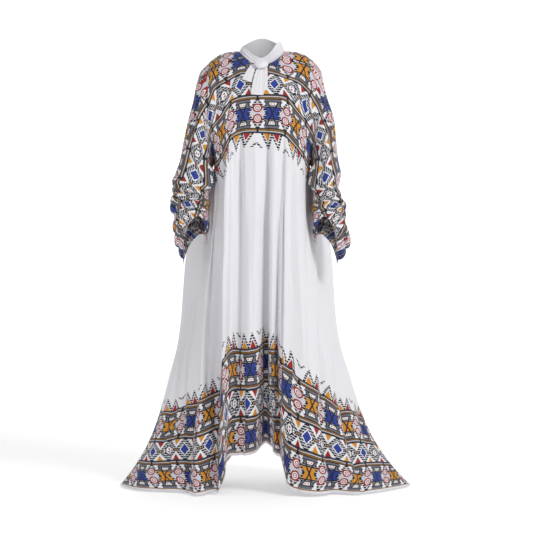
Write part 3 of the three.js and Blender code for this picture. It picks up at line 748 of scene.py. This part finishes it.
# ----------------------------------------------------------
# Sleeves: wide tubes printed all over. The upper part swings out of the armhole round the shoulder; the
# lower part is pushed up in slanting uneven rolls and its edge is drawn up in front, over the hand.
# ----------------------------------------------------------
CUFF_INNER_Z = -648
CUFF_OUTER_Z = -718
CUFF_FRONT_LIFT = 118
CUFF_BACK_LIFT = 58
CUFF_CURVE = 0.8
CUFF_GATHER = 1.6
GATHER_FROM = 510
SLEEVE_PRINT_START = -15
SLEEVE_RADIUS = 95
# How far round the print reaches to each side and how far forward its middle lies, at the armhole and lower.
PRINT_ALONG = (0, 0.6)
PRINT_REACH = (380, 305)
PRINT_FORWARD = (85, 15)

RING_COLUMNS = "innerX innerZ outerX outerZ middleY halfDepth square"
RIGHT_SLEEVE_RINGS = table(RING_COLUMNS, [
    (-163, -377, -190, -42, 0, 105, 0),
    (-167, -384, -208, -62, -2, 106, 0.04),
    (-170, -392, -222, -104, -6, 105, 0.1),
    (-174, -401, -233, -165, -13, 102, 0.16),
    (-176, -412, -250, -232, -23, 98, 0.22),
    (-177, -426, -265, -306, -35, 95, 0.26),
    (-178, -442, -276, -367, -47, 92, 0.28),
    (-178, -460, -292, -415, -58, 90, 0.28),
])
LEFT_SLEEVE_RINGS = table(RING_COLUMNS, [
    (163, -377, 190, -42, 0, 105, 0),
    (167, -384, 202, -64, -2, 106, 0.04),
    (169, -392, 210, -106, -6, 105, 0.1),
    (171, -401, 221, -160, -13, 102, 0.16),
    (173, -412, 239, -226, -23, 98, 0.22),
    (174, -426, 246, -306, -35, 95, 0.26),
    (174, -442, 252, -367, -47, 92, 0.28),
    (174, -460, 262, -415, -58, 90, 0.28),
])

CUFF_COLUMNS = "along innerX outerX middleY halfDepth square"
RIGHT_CUFF = table(CUFF_COLUMNS, [
    (0, -178, -292, -58, 90, 0.28),
    (0.12, -178, -300, -62, 88, 0.28),
    (0.25, -178, -290, -65, 86, 0.27),
    (0.38, -179, -304, -67, 85, 0.26),
    (0.52, -180, -289, -69, 82, 0.24),
    (0.75, -182, -286, -71, 78, 0.2),
    (1, -186, -266, -72, 72, 0.12),
])
LEFT_CUFF = table(CUFF_COLUMNS, [
    (0, 174, 262, -58, 90, 0.28),
    (0.12, 172, 252, -62, 88, 0.28),
    (0.26, 171, 256, -65, 86, 0.27),
    (0.42, 171, 274, -67, 85, 0.26),
    (0.58, 172, 272, -69, 82, 0.24),
    (0.78, 174, 285, -71, 78, 0.2),
    (1, 180, 254, -72, 72, 0.12),
])

# Rolls of the lower sleeve: where the crest of each lies at the four sides, from 0 at the elbow to 1 at the
# cuff, with its half width on the same scale and its height in millimetres.
ROLL_COLUMNS = "front outer back inner width height"
RIGHT_ROLLS = table(ROLL_COLUMNS, [
    ("below the elbow", 0.02, -0.06, 0.03, 0.08, 0.086, 7),
    ("first", 0.15, 0.07, 0.16, 0.22, 0.069, 10),
    ("second", 0.27, 0.2, 0.26, 0.33, 0.065, 14),
    ("third, widest", 0.42, 0.36, 0.37, 0.45, 0.077, 21),
    ("fourth", 0.58, 0.5, 0.47, 0.55, 0.06, 12),
    ("fifth", 0.7, 0.61, 0.6, 0.68, 0.069, 18),
    ("sixth", 0.84, 0.75, 0.72, 0.79, 0.065, 14),
    ("seventh", 0.95, 0.87, 0.84, 0.9, 0.06, 12),
    ("edge", 1.03, 0.99, 0.97, 1.0, 0.043, 5),
])
LEFT_ROLLS = table(ROLL_COLUMNS, [
    ("below the elbow", 0.05, -0.04, 0.0, 0.06, 0.086, 7),
    ("first", 0.18, 0.1, 0.12, 0.2, 0.073, 12),
    ("second", 0.33, 0.23, 0.24, 0.31, 0.069, 14),
    ("third", 0.47, 0.37, 0.35, 0.43, 0.073, 18),
    ("fourth, widest", 0.6, 0.52, 0.48, 0.57, 0.077, 20),
    ("fifth", 0.73, 0.65, 0.62, 0.7, 0.06, 12),
    ("sixth", 0.83, 0.77, 0.74, 0.8, 0.069, 18),
    ("seventh", 0.94, 0.89, 0.86, 0.91, 0.06, 14),
    ("edge", 1.03, 0.99, 0.98, 1.0, 0.043, 5),
])

# Long creases of a sleeve: turn in degrees, 0 at the outside and 90 in front; along counts 0..1 over the
# upper sleeve and 1..2 over the cuff.
SLEEVE_CREASE_COLUMNS = "fromTurn fromAlong toTurn toAlong width height"
RIGHT_SLEEVE_CREASES = table(SLEEVE_CREASE_COLUMNS, [
    ("front, from the shoulder", 52, 0.05, 78, 1.0, 9, -6),
    ("front, next to it", 70, 0.12, 96, 1.15, 10, 5),
    ("front, inner", 104, 0.1, 120, 1.3, 9, -6),
    ("front, inner ridge", 122, 0.2, 136, 1.4, 10, 5),
    ("outside, high", 22, 0.15, 34, 0.8, 9, -4),
    ("outside, long", 6, 0.35, 14, 1.5, 11, -4),
    ("back, outer", -34, 0.15, -22, 1.2, 10, -5),
    ("back, middle", -74, 0.1, -60, 1.35, 11, 6),
    ("back, inner", -112, 0.15, -98, 1.2, 10, -6),
    ("over the wrist, front", 48, 1.15, 82, 1.75, 8, -6),
    ("over the wrist, outer", 14, 1.3, 40, 1.9, 8, -5),
    ("over the wrist, back", -40, 1.2, -68, 1.9, 9, -6),
    ("puckers at the inside", 150, 1.0, 164, 1.9, 9, -5),
    ("against the body", 158, 0.4, 156, 1.15, 32, 46),
])
LEFT_SLEEVE_CREASES = table(SLEEVE_CREASE_COLUMNS, [
    ("front, from the shoulder", 60, 0.05, 70, 1.05, 9, -5),
    ("front, next to it", 82, 0.15, 90, 1.1, 10, 5),
    ("front, inner", 112, 0.1, 108, 1.25, 9, -6),
    ("front, inner ridge", 130, 0.2, 128, 1.45, 10, 4),
    ("outside, high", 30, 0.1, 26, 0.9, 9, -5),
    ("outside, long", 10, 0.3, 4, 1.4, 11, 4),
    ("back, outer", -28, 0.1, -30, 1.25, 10, -5),
    ("back, middle", -66, 0.15, -72, 1.3, 11, 6),
    ("back, inner", -104, 0.1, -110, 1.2, 10, -6),
    ("over the wrist, front", 76, 1.1, 44, 1.7, 8, -7),
    ("over the wrist, outer", 38, 1.25, 12, 1.85, 8, -5),
    ("over the wrist, back", -60, 1.2, -36, 1.85, 9, -6),
    ("puckers at the inside", 158, 1.0, 148, 1.9, 9, -5),
    ("against the body", 158, 0.4, 156, 1.15, 32, 46),
])


# The sleeve's reverse is mixed only a little toward grey: the print stays strong, with a little painted shade.
sleeve_reverse = crepe("printed crepe, sleeve reverse", True, 0.12)


def ring_points(inner_x, inner_z, outer_x, outer_z, middle_y, half_depth, square, turn):
    """Points of a slanting ring: turn 0 is its outer end and a quarter turn its front; square flattens it."""
    forward = np.sign(np.sin(turn)) * np.abs(np.sin(turn)) ** (1 - square)
    outward = (1 + np.sign(np.cos(turn)) * np.abs(np.cos(turn)) ** (1 - square)) / 2
    x = inner_x + (outer_x - inner_x) * outward
    z = inner_z + (outer_z - inner_z) * outward
    return np.stack([x, middle_y - half_depth * forward, z], -1)


def sleeve(name, node, rings, cuff, rolls, creases):
    """One sleeve, from the armhole to the drawn-up cuff edge."""
    side = np.sign(rings["innerX"][0])
    last = len(rings["innerX"]) - 1
    along = np.concatenate([np.linspace(0, 1, 61), np.linspace(1, 2, 111)[1:]])
    # Columns stand a little closer together at the four corners of the flattened rings.
    turn = np.linspace(0, 2 * np.pi, 160, endpoint=False)
    turn = turn - 0.13 * np.sin(4 * turn)
    along, turn = np.meshgrid(along, turn, indexing="ij")
    ring = {k: through_rows(v, np.minimum(along, 1) * last) for k, v in rings.items()}
    points = ring_points(*(ring[k] for k in RING_COLUMNS.split()), turn)
    # Lower part.
    t = np.clip(along - 1, 0, 1)
    row = np.interp(t, cuff["along"], np.arange(len(cuff["along"])))
    at = {k: through_rows(v, row) for k, v in cuff.items()}
    lower = ring_points(
        at["innerX"], CUFF_INNER_Z, at["outerX"], CUFF_OUTER_Z, at["middleY"], at["halfDepth"],
        at["square"], turn
    )
    forward = np.sin(turn)
    lift = np.where(forward > 0, CUFF_FRONT_LIFT, CUFF_BACK_LIFT)
    end_z = lower[..., 2] + lift * np.abs(forward) ** CUFF_CURVE
    lower[..., 2] = points[..., 2] + (end_z - points[..., 2]) * t
    points = np.where((along > 1)[..., None], lower, points)
    normals = surface_normals(points, wraps=True) * -side
    # Rolls: each point takes the height of the highest roll over it, so sharp furrows lie between them.
    height = np.zeros(turn.shape)
    for ahead, outer, behind, inner, width, rise in zip(*rolls.values()):
        crest = (ahead + outer + behind + inner) / 4 + (outer - inner) / 2 * np.cos(turn)
        crest = crest + (ahead - behind) / 2 * forward
        crest = crest + (outer + inner - ahead - behind) / 4 * np.cos(2 * turn)
        crest = crest + 0.012 * np.sin(5 * turn + 9 * rise) + 0.008 * np.sin(9 * turn + 3 * rise)
        swell = 0.75 + 0.25 * np.sin(2 * turn + 5 * rise)
        near = 1 - ((along - 1 - crest) / width) ** 2
        height = np.maximum(height, rise * swell * np.sqrt(np.clip(near, 0, 1)))
    height = height * smooth_step((along - 0.85) / 0.3) - 6 * smooth_step((along - 0.9) / 0.3)
    for from_turn, from_along, to_turn, to_along, width, rise in zip(*creases.values()):
        t = (along - from_along) / (to_along - from_along)
        line = np.radians(from_turn + (to_turn - from_turn) * t) + 0.05 * np.sin(9 * along + from_turn)
        away = (turn - line + np.pi) % (2 * np.pi) - np.pi
        ends = smooth_step(t / 0.25) * smooth_step((1 - t) / 0.25)
        height += rise * ends * np.exp(-((away * SLEEVE_RADIUS / width) ** 2))
    inside = smooth_step(1.25 + np.cos(turn))
    height = height * smooth_step(along / 0.12) * (0.35 + 0.65 * inside)
    points = points + normals * height[..., None]
    normals = surface_normals(points, wraps=True) * -side
    # Where each point lies in the flat cloth: the border runs along the arm, its plain side at the inside.
    round_arm = arc_lengths(points, 1)
    girth = round_arm[:, -1:] + np.linalg.norm(points[:, :1] - points[:, -1:], axis=-1)
    share = np.where(turn <= np.pi, 1, -1) * np.minimum(round_arm, girth - round_arm) / girth * 2
    reach = np.interp(along, PRINT_ALONG, PRINT_REACH)
    ahead = np.interp(along, PRINT_ALONG, PRINT_FORWARD)
    cloth_v = MIRROR_V - np.abs(share * reach - ahead)
    down_arm = 0.5 * np.abs(points[..., 0]) - 0.866 * points[..., 2]
    pushed_up = np.maximum(down_arm - GATHER_FROM, 0) * (CUFF_GATHER - 1)
    cloth_u = side * (down_arm + pushed_up + SLEEVE_PRINT_START)
    # At the armhole the print runs on from the body.
    seam_u, seam_v = chart_places(points[0])
    near = 1 - smooth_step(along / 0.3)
    cloth_u = cloth_u + (seam_u - cloth_u) * near
    cloth_v = cloth_v + (seam_v - cloth_v) * near
    inward = -normals
    middle = np.array([side * (SHOULDER_X + UNDERARM_X) / 2, 0, ARMHOLE_MIDDLE_Z])
    toward = middle - points[0]
    inward[0] = toward / np.linalg.norm(toward, axis=-1, keepdims=True)
    points[0, :, 0] += side * 0.15
    if side > 0:
        points, inward = points[:, ::-1], inward[:, ::-1]
        cloth_u, cloth_v = cloth_u[:, ::-1], cloth_v[:, ::-1]
    piece = cloth_shell(
        name, points, inward, CLOTH, cloth_u, cloth_v, [printed_crepe, sleeve_reverse], wraps=True
    )
    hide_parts(node)
    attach(piece, "root")


sleeve("right_arm", "right_sleeve", RIGHT_SLEEVE_RINGS, RIGHT_CUFF, RIGHT_ROLLS, RIGHT_SLEEVE_CREASES)
sleeve("left_arm", "left_sleeve", LEFT_SLEEVE_RINGS, LEFT_CUFF, LEFT_ROLLS, LEFT_SLEEVE_CREASES)


# ----------------------------------------------------------
# Collar: a standing band of doubled plain crepe round the neck, low in front and high behind, drawn in soft
# folds toward the tie.
# ----------------------------------------------------------
COLLAR_CLOTH = 2.0
COLLAR_INSET = 1.4
COLLAR_TUCK = 3
COLLAR_BACK_TUCK = 20
COLLAR_FRONT_HEIGHT = 26
COLLAR_SIDE_HEIGHT = 20
COLLAR_BACK_HEIGHT = 46
COLLAR_LEAN = 13
COLLAR_LEFT_RISE = 22
COLLAR_LEFT_TURN = 0.95
COLLAR_LEFT_SPREAD = 0.55

plain_crepe = crepe("plain crepe", False)


def collar_points(turn, level):
    """Turn 0 is the middle of the front and a quarter turn the wearer's left; level 0..1 goes up."""
    front = np.where(np.cos(turn) > 0, -1, 1)
    edge_x = NECK_HALF_WIDTH * np.sin(turn) * 0.9999
    reach = np.where(front < 0, NECK_FRONT_REACH, NECK_BACK_REACH)
    edge_y, edge_z = top_edge(edge_x, front, reach, np.where(front < 0, NECK_FRONT_Z, NECK_BACK_Z))
    end = np.where(front < 0, COLLAR_FRONT_HEIGHT, COLLAR_BACK_HEIGHT)
    # Behind, its seam edge reaches further down inside.
    tuck = COLLAR_TUCK + COLLAR_BACK_TUCK * smooth_step(-0.35 - np.cos(turn))
    height = tuck + COLLAR_SIDE_HEIGHT + (end - COLLAR_SIDE_HEIGHT) * np.cos(turn) ** 2
    from_left = (turn - COLLAR_LEFT_TURN) / COLLAR_LEFT_SPREAD
    height = height + COLLAR_LEFT_RISE * np.exp(-(from_left**2))
    shrink = 1 - (COLLAR_INSET + COLLAR_LEAN * level) / np.hypot(edge_x, edge_y)
    z = edge_z - tuck + height * level
    return np.stack([edge_x * shrink, edge_y * shrink, z], -1)


level, turn = np.meshgrid(
    np.linspace(1, 0, 26), np.linspace(0, 2 * np.pi, 220, endpoint=False), indexing="ij"
)
points = collar_points(turn, level)
normals = surface_normals(points, wraps=True)
in_front = smooth_step((np.cos(turn) + 0.35) / 1.2)
soft = np.exp(-(((level - 0.62 + 0.12 * np.sin(turn)) / 0.09) ** 2))
soft = soft + 0.8 * np.exp(-(((level - 0.3 - 0.1 * np.sin(turn + 0.6)) / 0.08) ** 2))
height = -2.1 * soft * in_front + 0.5 * np.sin(3 * turn + 2) * level
height = height + 0.9 * np.sin(np.pi * level) * (1 - in_front)
points = points + normals * (height * smooth_step(level / 0.15))[..., None]
normals = surface_normals(points, wraps=True)
collar = cloth_shell(
    "collar_band", points, -normals, COLLAR_CLOTH, turn * 66, level * 50, [plain_crepe], wraps=True
)
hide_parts("collar")
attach(collar, "root")


# ----------------------------------------------------------
# Placket: a narrow plain strip sewn over the slit below the collar.
# ----------------------------------------------------------
STRIP_COLUMNS = "down fromFold toFold standOff"
PLACKET = table(STRIP_COLUMNS, [(down, 10.1, 11.5, 0.6) for down in (0.03, 0.125, 0.25, 0.36)])


def strip_on_front(shape, rows, columns):
    """Points of a strip that lies on the front panel, with the directions off the panel."""
    row = np.linspace(0, len(shape["down"]) - 1, rows)
    across = np.linspace(0, 1, columns)
    row, across = np.meshgrid(row, across, indexing="ij")
    at = {k: through_rows(v, row) for k, v in shape.items()}
    fold = at["fromFold"] + (at["toFold"] - at["fromFold"]) * across
    seat = [
        panel_points(FRONT_FOLDS, -1, fold + f, at["down"] + d, NECK_FRONT_REACH, NECK_FRONT_Z, CHEST_DEPTH)
        for f, d in ((0, 0), (0, 0.01), (0.01, 0))
    ]
    off = np.cross(seat[1] - seat[0], seat[2] - seat[0])
    off = off / np.linalg.norm(off, axis=-1, keepdims=True)
    return seat[0] + off * at["standOff"][..., None], off, row / (len(shape["down"]) - 1), across


points, off, down, across = strip_on_front(PLACKET, 60, 14)
puckers = 0.25 * np.sin(down * 46 + 3 * across)
points = points + off * (1.2 + puckers)[..., None]
placket = cloth_shell("placket_strip", points, -off, 1.0, across * 28, down * 100, [plain_crepe])
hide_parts("placket")
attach(placket, "root")


# ----------------------------------------------------------
# Tie: the collar's own two ends in one knot, soft doubled strips of the plain crepe. The long end hangs over
# the placket and the short one flares to the wearer's right.
# ----------------------------------------------------------
TIE_CLOTH = 1.8
TIE_LONG_END = table(STRIP_COLUMNS, [
    (0.094, 9.85, 10.9, 3),
    (0.125, 9.75, 10.85, 3.2),
    (0.1875, 9.5, 10.8, 3.6),
    (0.25, 9.2, 10.8, 4),
    (0.3125, 9, 10.75, 4.2),
    (0.395, 8.8, 10.7, 3.6),
])
TIE_SHORT_END = table(STRIP_COLUMNS, [
    (0.094, 9, 9.72, 0.7),
    (0.125, 8.75, 9.6, 0.8),
    (0.1875, 8.2, 9.3, 1.6),
    (0.25, 7.75, 9, 2),
    (0.31, 7.3, 8.85, 2),
])


def tie_end(name, node, shape, folds):
    """A soft end of the tie; folds lists furrows as (place across, drift, half width, depth)."""
    points, off, down, across = strip_on_front(shape, 80, 48)
    height = TIE_CLOTH + 1.6 * np.sin(np.pi * across) * (1 - 0.5 * down)
    for place, drift, width, depth in folds:
        line = place + drift * down + 0.02 * np.sin(9 * down + 8 * place)
        height = height - depth * np.exp(-(((across - line) / width) ** 2)) * (1 - 0.35 * down)
    points = points + off * height[..., None]
    normals = surface_normals(points)
    piece = cloth_shell(name, points, -normals, TIE_CLOTH, across * 40, down * 110, [plain_crepe])
    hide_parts(node)
    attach(piece, "root")


tie_end(
    "tie_long", "tie_long_end", TIE_LONG_END,
    [(0.26, -0.06, 0.05, 1.5), (0.52, 0.03, 0.045, 1.2), (0.78, 0.05, 0.05, 1.5)],
)
tie_end(
    "tie_short", "tie_short_end", TIE_SHORT_END,
    [(0.34, -0.05, 0.07, 1.2), (0.68, 0.06, 0.06, 1.3)],
)

KNOT_HALF_SIZES = (24, 11, 22)
KNOT_TILT = -0.75
# Where it sits: on this fold line and this far down the front, moved by the offset.
KNOT_FOLD = 10.3
KNOT_DOWN = 0.13
KNOT_OFFSET = (1, -8, 12.4)
seat = panel_points(
    FRONT_FOLDS, -1, np.array([KNOT_FOLD]), np.array([KNOT_DOWN]), NECK_FRONT_REACH, NECK_FRONT_Z,
    CHEST_DEPTH,
)[0]
turn, climb = np.meshgrid(
    np.linspace(0, 2 * np.pi, 90, endpoint=False), np.linspace(0.02, np.pi - 0.02, 60), indexing="xy"
)
lump = np.stack([np.sin(climb) * np.cos(turn), np.sin(climb) * np.sin(turn), np.cos(climb)], -1)
wrap = lump[..., 0] * 0.75 - lump[..., 2] * 0.66
swell = 1 - 0.12 * np.exp(-(((wrap - 0.15 - 0.3 * lump[..., 1]) / 0.09) ** 2))
swell = swell - 0.13 * np.exp(-(((wrap + 0.35 - 0.2 * lump[..., 1]) / 0.1) ** 2))
swell = swell - 0.1 * np.exp(-(((wrap - 0.62) / 0.08) ** 2))
points = lump * swell[..., None] * KNOT_HALF_SIZES
y, z = points[..., 1].copy(), points[..., 2].copy()
points[..., 1] = y * np.cos(KNOT_TILT) - z * np.sin(KNOT_TILT)
points[..., 2] = y * np.sin(KNOT_TILT) + z * np.cos(KNOT_TILT)
points = points + seat + KNOT_OFFSET
normals = surface_normals(points, wraps=True)
knot = cloth_shell("knot", points, -normals, 1.5, turn * 15, climb * 15, [plain_crepe], wraps=True)
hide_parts("tie_knot")
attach(knot, "root")


# ----------------------------------------------------------
# Studio: a plain pale floor and wall, soft light from both sides and from behind, and the camera in front.
# ----------------------------------------------------------
def studio_sheet(name, corners, glow):
    """A flat pale sheet of the studio that gives off a little light of its own."""
    material = bpy.data.materials.new("pale " + name)
    material.use_nodes = True
    shader = material.node_tree.nodes["Principled BSDF"]
    for socket, value in (
        ("Base Color", (0.9, 0.9, 0.9, 1)), ("Roughness", 0.9),
        ("Emission Color", (1, 1, 1, 1)), ("Emission Strength", glow),
    ):
        shader.inputs[socket].default_value = value
    mesh = bpy.data.meshes.new(name)
    mesh.from_pydata(corners, [], [(0, 1, 2, 3)])
    mesh.materials.append(material)
    sheet = bpy.data.objects.new(name, mesh)
    bpy.context.scene.collection.objects.link(sheet)


FLOOR_Z = -1.4715
studio_sheet("floor", [(-9, -9, FLOOR_Z), (9, -9, FLOOR_Z), (9, 7, FLOOR_Z), (-9, 7, FLOOR_Z)], 0.37)
studio_sheet("wall", [(-9, 7, FLOOR_Z), (9, 7, FLOOR_Z), (9, 7, 5), (-9, 7, 5)], 0.55)
world = bpy.data.worlds.new("studio")
bpy.context.scene.world = world
world.use_nodes = True
world.node_tree.nodes["Background"].inputs["Color"].default_value = (1.0, 1.0, 1.0, 1)
world.node_tree.nodes["Background"].inputs["Strength"].default_value = 0.44
bpy.context.scene.view_settings.view_transform = "Standard"


def soft_light(name, place, aim, size, power):
    data = bpy.data.lights.new(name, "AREA")
    data.shape = "SQUARE"
    data.size = size
    data.energy = power
    light = bpy.data.objects.new(name, data)
    light.location = place
    away = np.array(place) - np.array(aim)
    flat = np.hypot(away[0], away[1])
    light.rotation_euler = (np.arctan2(flat, away[2]), 0, np.arctan2(away[0], -away[1]))
    bpy.context.scene.collection.objects.link(light)


soft_light("key, from the right", (2.4, -2.4, 2.1), (0, 0, -0.2), 1.1, 75)
soft_light("fill, from the left", (-2.4, -3.6, 1.2), (0, 0, -0.6), 1.8, 14)
soft_light("behind", (0.6, 3.0, 1.6), (0, 0, -0.6), 2.0, 12)

camera_data = bpy.data.cameras.new("camera")
camera_data.sensor_width = 36
camera_data.lens = 91.4
camera = bpy.data.objects.new("camera", camera_data)
camera.location = (0.015, -4.6, -0.7225)
camera.rotation_euler = (np.pi / 2, 0, 0)
bpy.context.scene.collection.objects.link(camera)
bpy.context.scene.camera = camera
